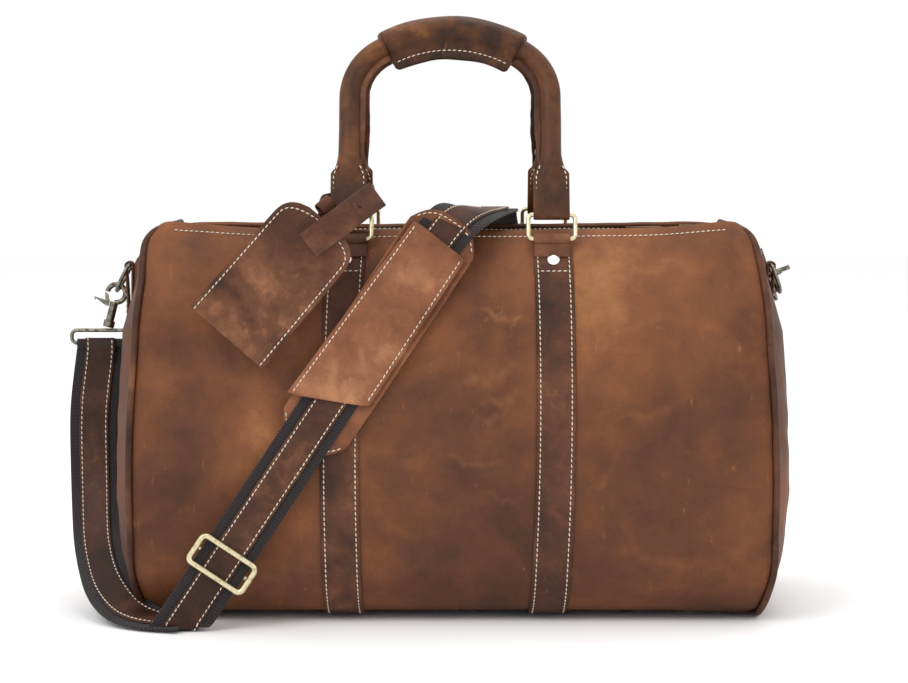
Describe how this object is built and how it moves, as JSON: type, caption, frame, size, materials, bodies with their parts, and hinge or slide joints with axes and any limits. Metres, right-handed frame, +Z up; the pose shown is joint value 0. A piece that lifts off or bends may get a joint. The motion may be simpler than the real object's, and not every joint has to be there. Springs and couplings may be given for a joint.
{
  "type": "leather duffel bag",
  "caption": "Barrel-topped leather travel duffel with rolled handles, zipped top, end rings, padded webbing shoulder strap and hanging luggage tag.",
  "frame": {"origin": "middle of the centre foot's sole, under the middle of the bag", "axes": "+Z up, the front faces -Y, +X is the right as the front is looked at"},
  "size_m": [0.5672, 0.2919, 0.4546],
  "materials": {
    "shell_leather": "waxed pull-up leather, matt with soft burnished patches",
    "piping_leather": "waxed leather piping",
    "trim_leather": "waxed leather, darker",
    "handle_leather": "rolled waxed leather, burnished",
    "pad_leather": "waxed leather, worn pale",
    "tag_leather": "waxed leather",
    "cotton_webbing": "woven cotton webbing",
    "lining_cotton": "plain woven cotton",
    "zip_tape": "woven tape",
    "stitching": "waxed cotton thread",
    "base_board": "stiff board",
    "antique_brass": "brushed pale antique brass",
    "aged_bronze": "dark aged bronze plate",
    "zip_metal": "antique brass",
    "foot_brass": "antique brass",
    "rivet_nickel": "polished nickel"
  },
  "bodies": {
    "bag": {"front_panel": "shell_leather", "back_panel": "shell_leather", "bottom_panel": "shell_leather", "end_panel_left": "shell_leather", "end_panel_right": "shell_leather", "piping_left": "piping_leather", "piping_right": "piping_leather", "lining_wrap": "lining_cotton", "lining_ends": "lining_cotton", "inner_pocket": "lining_cotton", "base_board": "base_board", "centre_foot": "foot_brass", "corner_feet": "foot_brass", "band_front_left": "trim_leather", "band_front_right": "trim_leather", "band_back_left": "trim_leather", "band_back_right": "trim_leather", "rivets_front": "rivet_nickel", "rivets_back": "rivet_nickel", "zip_end_left": "trim_leather", "zip_end_right": "trim_leather", "strap_left": "cotton_webbing", "strap_floor": "cotton_webbing", "strap_front": "cotton_webbing", "strap_top": "cotton_webbing", "strap_back": "cotton_webbing", "end_tab_left": "trim_leather", "end_tab_right": "trim_leather", "bail_left": "aged_bronze", "bail_right": "aged_bronze"},
    "rings_front": {"ring_front_left": "antique_brass", "ring_front_right": "antique_brass"},
    "handle_front": {"handle_front": "handle_leather", "handle_front_tabs": "handle_leather", "handle_wrap": "handle_leather", "tag_loop": "tag_leather"},
    "tag": {"tag_front": "tag_leather", "tag_back": "tag_leather", "tag_strap": "tag_leather"},
    "rings_back": {"ring_back_left": "antique_brass", "ring_back_right": "antique_brass"},
    "handle_back": {"handle_back": "handle_leather", "handle_back_tabs": "handle_leather"},
    "zip_flap_front": {"zip_flap_front": "trim_leather", "zip_tape_front": "zip_tape"},
    "zip_flap_back": {"zip_flap_back": "trim_leather", "zip_tape_back": "zip_tape"},
    "zip_slider": {"zip_slider": "zip_metal"},
    "zip_pull": {"zip_pull": "zip_metal", "zip_puller": "trim_leather"},
    "slider_buckle": {"slider_buckle": "antique_brass"},
    "shoulder_pad": {"pad_top": "pad_leather", "pad_under": "pad_leather"},
    "d_ring_left": {"d_ring_left": "aged_bronze"},
    "d_ring_right": {"d_ring_right": "aged_bronze"},
    "hook_left": {"hook_left": "aged_bronze"},
    "hook_right": {"hook_right": "aged_bronze"},
    "trigger_left": {"trigger_left": "aged_bronze"},
    "trigger_right": {"trigger_right": "aged_bronze"}
  },
  "joints": [
    {"name": "rings_front_swing", "type": "hinge", "parent": "bag", "child": "rings_front", "pos_m": [0, -0.088, 0.286], "axis": [1, 0, 0], "range_deg": [0, 50]},
    {"name": "handle_front_swing", "type": "hinge", "parent": "rings_front", "child": "handle_front", "pos_m": [0, -0.0807, 0.30408], "axis": [1, 0, 0], "range_deg": [0, 50]},
    {"name": "tag_swing", "type": "hinge", "parent": "handle_front", "child": "tag", "pos_m": [-0.056, -0.101, 0.318], "axis": [1, 0, 0], "range_deg": [-100, 0]},
    {"name": "rings_back_swing", "type": "hinge", "parent": "bag", "child": "rings_back", "pos_m": [0, 0.088, 0.286], "axis": [-1, 0, 0], "range_deg": [0, 50]},
    {"name": "handle_back_swing", "type": "hinge", "parent": "rings_back", "child": "handle_back", "pos_m": [0, 0.0807, 0.30408], "axis": [-1, 0, 0], "range_deg": [0, 50]},
    {"name": "zip_flap_front_fold", "type": "hinge", "parent": "bag", "child": "zip_flap_front", "pos_m": [0, -0.068, 0.287], "axis": [-1, 0, 0], "range_deg": [0, 80]},
    {"name": "zip_flap_back_fold", "type": "hinge", "parent": "bag", "child": "zip_flap_back", "pos_m": [0, 0.068, 0.287], "axis": [1, 0, 0], "range_deg": [0, 80]},
    {"name": "zip_slide", "type": "slide", "parent": "bag", "child": "zip_slider", "axis": [1, 0, 0], "range_m": [-0.35, 0]},
    {"name": "zip_pull_lift", "type": "hinge", "parent": "zip_slider", "child": "zip_pull", "pos_m": [0.183, 0, 0.2914], "axis": [0, 1, 0], "range_deg": [0, 120]},
    {"name": "strap_adjust", "type": "slide", "parent": "bag", "child": "slider_buckle", "axis": [0.5537, 0.0809, 0.8288], "range_m": [0, 0.07]},
    {"name": "pad_slide", "type": "slide", "parent": "bag", "child": "shoulder_pad", "axis": [0.5537, 0.0809, 0.8288], "range_m": [-0.07, 0]},
    {"name": "d_ring_left_swing", "type": "hinge", "parent": "bag", "child": "d_ring_left", "pos_m": [-0.25, 0, 0.262], "axis": [0, 1, 0], "range_deg": [0, 6]},
    {"name": "d_ring_right_swing", "type": "hinge", "parent": "bag", "child": "d_ring_right", "pos_m": [0.25, 0, 0.262], "axis": [0, 1, 0], "range_deg": [-6, 6]},
    {"name": "hook_left_swivel", "type": "hinge", "parent": "d_ring_left", "child": "hook_left", "pos_m": [-0.26054, 0, 0.24027], "axis": [0.2501, 0, 0.9682], "range_deg": [-12, 12]},
    {"name": "hook_right_swivel", "type": "hinge", "parent": "d_ring_right", "child": "hook_right", "pos_m": [0.25274, 0.0152, 0.25448], "axis": [0, -1, 0], "range_deg": [-12, 12]},
    {"name": "trigger_left_press", "type": "hinge", "parent": "hook_left", "child": "trigger_left", "pos_m": [-0.26744, 0, 0.23275], "axis": [0, 1, 0], "range_deg": [0, 16], "stiffness_Nm_per_rad": 0.02},
    {"name": "trigger_right_press", "type": "hinge", "parent": "hook_right", "child": "trigger_right", "pos_m": [0.25725, 0.0242, 0.25612], "axis": [0.342, 0, -0.9397], "range_deg": [0, 16], "stiffness_Nm_per_rad": 0.02}
  ],
  "couplings": [
    {"joint": "handle_front_swing", "follows": "rings_front_swing", "ratio": 1},
    {"joint": "tag_swing", "follows": "rings_front_swing", "ratio": -2},
    {"joint": "handle_back_swing", "follows": "rings_back_swing", "ratio": 1}
  ]
}
